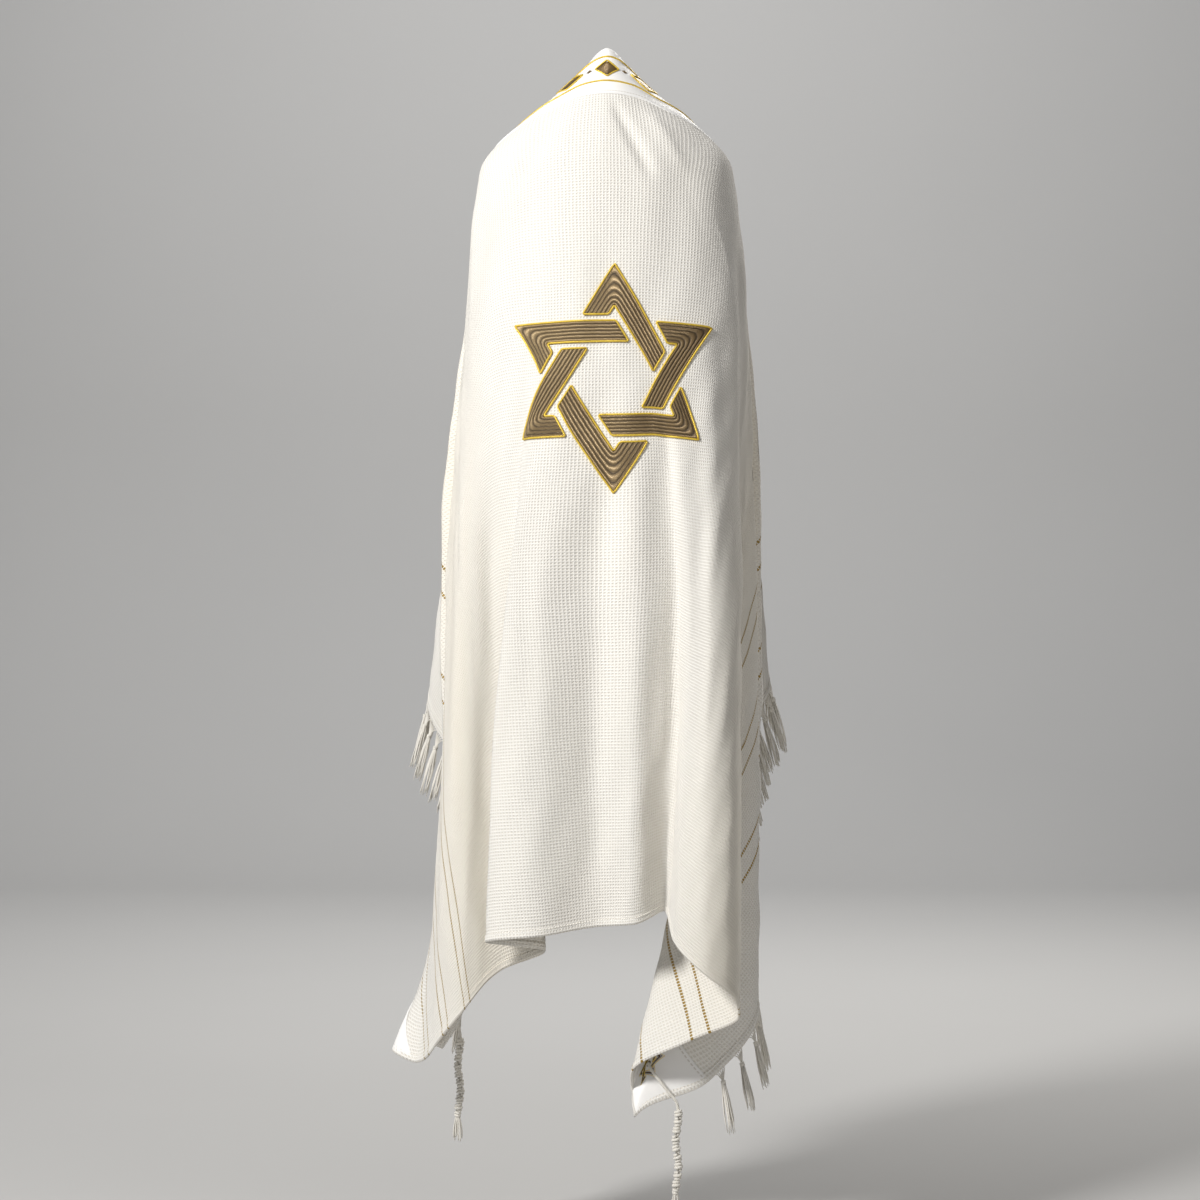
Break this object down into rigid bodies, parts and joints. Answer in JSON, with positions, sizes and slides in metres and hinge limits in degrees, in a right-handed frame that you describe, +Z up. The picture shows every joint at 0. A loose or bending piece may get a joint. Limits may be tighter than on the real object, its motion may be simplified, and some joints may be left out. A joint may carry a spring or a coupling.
{
  "type": "tallit prayer shawl, worn form",
  "caption": "Hollow worn prayer shawl: a draped woven rectangle with neckband, back star, corner patches, end fringes and knotted corner tassels.",
  "frame": {"origin": "inside the neck, at the height of the neckband's lower edge in the middle of the back, where the wearer's neck holds the shawl", "axes": "+Z up, -Y the wearer's back, +Y the open front, +X the wearer's right side"},
  "size_m": [0.5789, 0.4457, 1.6742],
  "materials": {
    "woven_cloth": "matt cream waffle weave with thin gold stripes",
    "satin_facing": "smooth off-white satin",
    "gold_embroidery": "dense bronze-gold satin stitch with a bright gold edge",
    "fringe_yarn": "matt off-white twisted yarn"
  },
  "bodies": {
    "root": {"cloth": "woven_cloth", "neckband": "satin_facing", "corner_patch_upper_left": "satin_facing", "corner_patch_upper_right": "satin_facing", "corner_patch_lower_left": "satin_facing", "corner_patch_lower_right": "satin_facing", "back_star_1": "gold_embroidery", "back_star_2": "gold_embroidery", "back_star_3": "gold_embroidery", "back_star_4": "gold_embroidery", "back_star_5": "gold_embroidery", "back_star_6": "gold_embroidery", "fringe_left": "fringe_yarn", "fringe_right": "fringe_yarn", "tzitzit_upper_left": "fringe_yarn", "tzitzit_upper_right": "fringe_yarn", "tzitzit_lower_left": "fringe_yarn", "tzitzit_lower_right": "fringe_yarn"}
  },
  "joints": []
}
